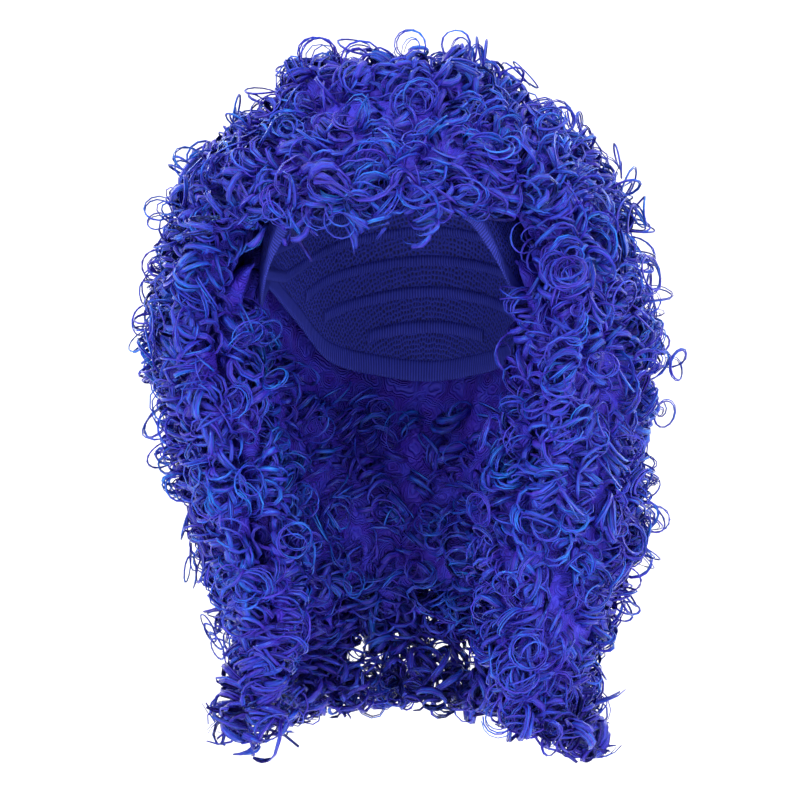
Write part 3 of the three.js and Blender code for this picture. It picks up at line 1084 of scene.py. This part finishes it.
@dataclass
class Cap:
    """The stretch cap: a dome of net, the tracks that the hair is sewn to, and an elastic hem."""

    centre: tuple[float, float, float] = (0.0, 0.002, -0.06)
    meridians: int = 144
    rings: int = 40
    wall: float = 0.9 * MM
    hem_width: float = 7 * MM
    hem_wall: float = 2.2 * MM
    hem_over: float = 0.06  # how far it reaches past the net, as a share of its width
    hem_middle: float = -0.47  # the middle of its section, in the same shares from the edge
    hem_length: float = 1.08  # and its length, a little past its ends so that they stay thick
    hem_steps: int = 9  # points across each of its sides
    hem_cover: float = 0.1 * MM  # how much further it stands on its inner side
    track_gap: float = 15 * MM
    track_width: float = 5 * MM
    track_wall: float = 0.9 * MM
    track_stand: float = 0.35 * MM  # how far in a track's edges stand
    track_sink: float = 0.05 * MM  # how far in its outer side lies, clear of the net
    track_steps: int = 4  # points across a track
    least_span: int = 8  # meridians that the shortest track has to pass
    edge_between: tuple[float, float] = (0.8, 2.8)  # angles from the crown, in radians
    halvings: int = 14  # steps in the search for the edge
    kept: float = 0.995  # how much of the way to the edge the net covers

    def __post_init__(self) -> None:
        """Measures the inside of the frame's cap along meridians from the crown to the edge."""
        tree = search_tree(*node_solid("cap"))
        middle = Vector(self.centre)
        turns = np.linspace(0, 2 * math.pi, self.meridians, endpoint=False)
        ways = np.stack([np.sin(turns), -np.cos(turns)], 1)

        def reach(way: Array, fall: float) -> float | None:
            """Returns how far the cap's inside lies on a ray, or None below its edge."""
            ray = Vector((way[0] * math.sin(fall), way[1] * math.sin(fall), math.cos(fall)))
            return tree.ray_cast(middle, ray)[3]

        edges = []
        for way in ways:
            low, high = self.edge_between
            for _ in range(self.halvings):
                between = 0.5 * (low + high)
                low, high = (between, high) if reach(way, between) else (low, between)
            edges.append(low)
        edges = self.evened_round(np.array(edges)[:, None], 3)
        self.shares = np.linspace(0, 1, self.rings)
        falls = edges * self.shares * self.kept
        reaches = np.array([[reach(w, f) for f in row] for w, row in zip(ways, falls)], float)
        reaches = self.evened_round(np.nan_to_num(reaches, nan=float(np.nanmean(reaches))), 6)
        reaches[:, 0] = reaches[:, 0].mean()
        flat = np.sin(falls)[..., None] * ways[:, None, :]
        rays = np.concatenate([flat, np.cos(falls)[..., None]], -1)
        self.inside = np.array(self.centre) + rays * reaches[..., None]
        around = np.roll(self.inside, -1, 0) - np.roll(self.inside, 1, 0)
        down = np.gradient(self.inside, axis=1)
        self.outward = unit(np.cross(down, around))
        self.outward[:, 0] = UP
        self.outward *= np.sign(dot(self.outward, rays).mean())
        lengths = np.linalg.norm(np.diff(self.inside, axis=1), axis=-1)
        self.run = np.concatenate([np.zeros((len(ways), 1)), np.cumsum(lengths, 1)], 1)
        self.turns = turns

    def evened_round(self, values: Array, times: int) -> Array:
        """Evens out values round the cap.

        Args:
            values: A row for each meridian.
            times: How often each row moves halfway to the mean of its neighbours.

        Returns:
            The new values.
        """
        for _ in range(times):
            values = 0.25 * np.roll(values, 1, 0) + 0.5 * values + 0.25 * np.roll(values, -1, 0)
        return values

    def band(self, shares: Array, inner: Array, outer: Array, keep: Array | None) -> Arrays:
        """Makes a closed band that follows the cap.

        Args:
            shares: Places down the cap, one column for each step across the band.
            inner: How far its inner side lies inside the cap at each step.
            outer: How far its outer side lies inside the cap at each step.
            keep: The meridians that it covers, or None for all the way round.

        Returns:
            The band's vertices, its inner side first, and its triangles.
        """
        spots = read_lines(self.inside, shares)
        normals = unit(read_lines(self.outward, shares))
        is_whole = keep is None
        if not is_whole:
            spots, normals = spots[keep], normals[keep]
        rows, steps = spots.shape[:2]
        loop = [spots - normals * np.asarray(d)[..., None] for d in (inner, outer)]
        grid = np.concatenate([loop[0], loop[1][:, ::-1]], 1)
        numbers = np.arange(rows * 2 * steps).reshape(rows, 2 * steps)
        here = numbers if is_whole else numbers[:-1]
        there = np.roll(numbers, -1, 0) if is_whole else numbers[1:]
        faces = [quad_faces(here, np.roll(here, -1, 1), np.roll(there, -1, 1), there)]
        if not is_whole:
            for end, is_first in ((numbers[0], True), (numbers[-1], False)):
                back = end[::-1]
                quads = end[: steps - 1], end[1:steps], back[1:steps], back[: steps - 1]
                faces.append(quad_faces(*(quads[::-1] if is_first else quads)))
        return grid.reshape(-1, 3), np.concatenate(faces)

    def make_net(self) -> Object:
        """Makes the dome of net, closed at the crown and round its edge.

        Returns:
            The mesh object.
        """
        rows, rings = self.inside.shape[:2]
        sides = [self.inside, self.inside + self.outward * self.wall]
        points = [side[:, 1:].reshape(-1, 3) for side in sides]
        crowns = [side[:, 0].mean(0, keepdims=True) for side in sides]
        each = rows * (rings - 1)
        faces = []
        for number in range(2):
            grid = np.arange(each).reshape(rows, rings - 1) + number * each
            beside = np.roll(grid, -1, 0)
            top = np.full(rows, 2 * each + number)
            parts = [
                quad_faces(grid[:, :-1], grid[:, 1:], beside[:, 1:], beside[:, :-1]),
                np.stack([top, grid[:, 0], beside[:, 0]], -1),
            ]
            faces += [part if number else part[:, ::-1] for part in parts]
        low = np.arange(each).reshape(rows, rings - 1)[:, -1]
        high = low + each
        faces.append(quad_faces(low, np.roll(low, -1), np.roll(high, -1), high))
        made = new_mesh("cap_net", np.concatenate(points + crowns), np.concatenate(faces))
        turns = self.turns[:, None]
        flat = np.stack([self.run * np.cos(turns), self.run * np.sin(turns), 0 * self.run], -1)
        flat = flat[:, 1:].reshape(-1, 3)
        set_values(made, "streak", np.concatenate([flat, flat, np.zeros((2, 3))]) / MM)
        return made

    def band_values(self, points: Array, width: int) -> Array:
        """Measures where a band's vertices lie on it.

        Args:
            points: The vertices of the band.
            width: How many of them lie across each of its sides.

        Returns:
            The places along the band and across it, in millimetres.
        """
        grid = points.reshape(-1, 2 * width, 3)
        steps = np.linalg.norm(np.diff(grid[:, 0], axis=0), axis=-1)
        along = np.concatenate([[0.0], np.cumsum(steps)])[:, None] + np.zeros(2 * width)
        across = np.linalg.norm(grid - grid[:, :1], axis=-1)
        return np.stack([along, across, 0 * along], -1).reshape(-1, 3) / MM

    def make_tracks(self) -> Object:
        """Makes the tracks: flat tapes at even gaps, the lower ones round the back alone.

        Returns:
            The mesh object.
        """
        parts, values = [], []
        reach = self.run[:, -1]
        across = np.linspace(-0.5, 0.5, self.track_steps)
        gap = self.track_gap
        while gap < reach.max() - self.hem_width:
            keep = None
            inside = gap + self.hem_width + self.track_width < reach
            if not inside.all():
                order = np.roll(np.arange(len(reach)), -int(np.flatnonzero(~inside)[0]))
                keep = order[inside[order]]
            middle = gap / reach[:, None]
            shares = middle + across * self.track_width / reach[:, None]
            bow = self.track_wall * (1 - (2 * across) ** 4)
            if keep is None or len(keep) > self.least_span:
                sink = 0 * bow + self.track_sink
                band = self.band(shares, bow + self.track_stand, sink, keep)
                parts.append(band)
                values.append(self.band_values(band[0], len(across)))
            gap += self.track_gap
        made = new_mesh("cap_tracks", *joined(parts))
        set_values(made, "streak", np.concatenate(values))
        return made

    def make_hem(self) -> Object:
        """Makes the elastic hem, a soft band round the edge on both sides of the net.

        Returns:
            The mesh object.
        """
        across = np.linspace(-1, self.hem_over, self.hem_steps)
        shares = 1 + across * self.hem_width / self.run[:, -1:]
        bow = (2 * (across - self.hem_middle) / self.hem_length) ** 4
        swell = 0.5 * self.hem_wall * np.sqrt(np.clip(1 - bow, 0, 1))
        middle = 0.5 * self.wall
        inner = swell - middle + self.hem_cover
        spots, faces = self.band(np.minimum(shares, 1), inner, -swell - middle, None)
        grid = spots.reshape(len(self.turns), -1, 3)
        down = unit(self.inside[:, -1] - self.inside[:, -2])
        over = np.clip(shares - 1, 0, None) * self.run[:, -1:]
        grid += down[:, None] * np.concatenate([over, over[:, ::-1]], 1)[..., None]
        made = new_mesh("cap_hem", grid.reshape(-1, 3), faces)
        set_values(made, "streak", self.band_values(grid.reshape(-1, 3), len(across)))
        return made

    def build(self) -> None:
        """Makes the cap's pieces and sets them on the frame."""
        elastic = WovenElastic().material()
        dress(self.make_net(), StretchNet().material(), "cap")
        dress(self.make_tracks(), elastic, "cap")
        dress(self.make_hem(), elastic, "cap")


# The studio


@dataclass
class Studio:
    """A pale floor that curves up into a wall all round, soft lights and the camera."""

    lowest: float  # the height of the lowest tips
    floor_drop: float = 0.26  # how far the floor lies below them
    floor_radius: float = 3.4
    floor_rings: int = 8
    floor_sides: int = 96
    wall_height: float = 3.2
    corner: float = 1.2
    corner_steps: int = 13
    lit_spot: tuple[float, float, float] = (0.0, 0.0, -0.15)
    camera_azimuth: float = 10.0
    camera_distance: float = 1.9
    picture_size: int = 812
    millimetres_per_pixel: float = 0.55
    crown_pixel: tuple[float, float] = (400.0, 111.0)  # where the frame's origin shows

    def make_floor(self) -> None:
        """Makes the floor."""
        flat = self.lowest - self.floor_drop
        rings = np.linspace(0.0, self.floor_radius, self.floor_rings)[1:]
        profile = [(r, flat) for r in rings]
        for bend in np.linspace(0, math.pi / 2, self.corner_steps)[1:]:
            profile.append((self.floor_radius + self.corner * math.sin(bend),
                            flat + self.corner * (1 - math.cos(bend))))
        profile.append((self.floor_radius + self.corner, flat + self.corner + self.wall_height))
        turns = np.linspace(0, 2 * math.pi, self.floor_sides, endpoint=False)
        points = [[0.0, 0.0, flat]]
        points += [[r * math.cos(t), r * math.sin(t), z] for r, z in profile for t in turns]
        grid = 1 + np.arange(len(profile) * len(turns)).reshape(len(profile), len(turns))
        beside = np.roll(grid, -1, 1)
        faces = np.concatenate([
            np.stack([0 * grid[0], grid[0], beside[0]], -1),
            quad_faces(grid[:-1], grid[1:], beside[1:], beside[:-1]),
        ])
        floor = new_mesh("floor", np.array(points), faces)
        floor.data.materials.append(StudioPaper().material())
        floor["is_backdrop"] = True

    def add_light(self, name: str, place: tuple, size: float, power: float) -> None:
        """Adds a soft square light that points at the hair.

        Args:
            name: The light's name.
            place: Where it stands.
            size: The length of its side.
            power: Its power in watts.
        """
        data = bpy.data.lights.new(name, "AREA")
        data.size = size
        data.energy = power
        light = new_object(name, data)
        light.location = place
        aim = Vector(self.lit_spot) - Vector(place)
        light.rotation_euler = aim.to_track_quat("-Z", "Y").to_euler()

    def make_camera(self) -> None:
        """Makes the camera at the photograph's angle and framing."""
        data = bpy.data.cameras.new("camera")
        per_pixel = self.millimetres_per_pixel * MM
        data.sensor_width = 36.0
        data.lens = data.sensor_width * self.camera_distance / (self.picture_size * per_pixel)
        data.clip_end = 50.0
        camera = new_object("camera", data)
        turn = math.radians(self.camera_azimuth)
        back = Vector((math.sin(turn), -math.cos(turn), 0.0))
        right = Vector((math.cos(turn), math.sin(turn), 0.0))
        middle = self.picture_size / 2
        target = right * (middle - self.crown_pixel[0]) * per_pixel
        target.z = (self.crown_pixel[1] - middle) * per_pixel
        camera.location = target + back * self.camera_distance
        camera.rotation_euler = (-back).to_track_quat("-Z", "Y").to_euler()
        bpy.context.scene.camera = camera

    def build(self) -> None:
        """Makes the floor, the lights and the camera."""
        self.make_camera()
        self.make_floor()
        self.add_light("key", (-1.3, -2.0, 1.0), 0.45, 22)
        self.add_light("fill", (1.8, -1.7, 0.2), 0.8, 17)
        self.add_light("top", (0.2, -0.3, 1.9), 1.0, 9)
        self.add_light("back_left", (-1.5, 1.9, 0.9), 1.1, 18)
        self.add_light("back_right", (1.5, 1.9, 0.9), 1.1, 18)
        world = bpy.data.worlds.new("studio")
        world.use_nodes = True
        background = world.node_tree.nodes["Background"]
        set_inputs(world.node_tree, background, {"Color": linear("ffffff"), "Strength": 1.5})
        bpy.context.scene.world = world
        bpy.context.scene.view_settings.view_transform = "Standard"


def main() -> None:
    """Builds the wig and its studio."""
    logging.basicConfig(level=logging.INFO, format="%(message)s")
    lo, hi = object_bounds()
    Cap().build()
    rows = ("nape", "left_under", "right_under", "left_side", "right_side", "back_left",
            "back_right", "fringe", "crown", "top")
    Hair([HairRow(row + "_locks", row) for row in rows]).build()
    Studio(lo.z).build()


if __name__ == "__main__":
    main()
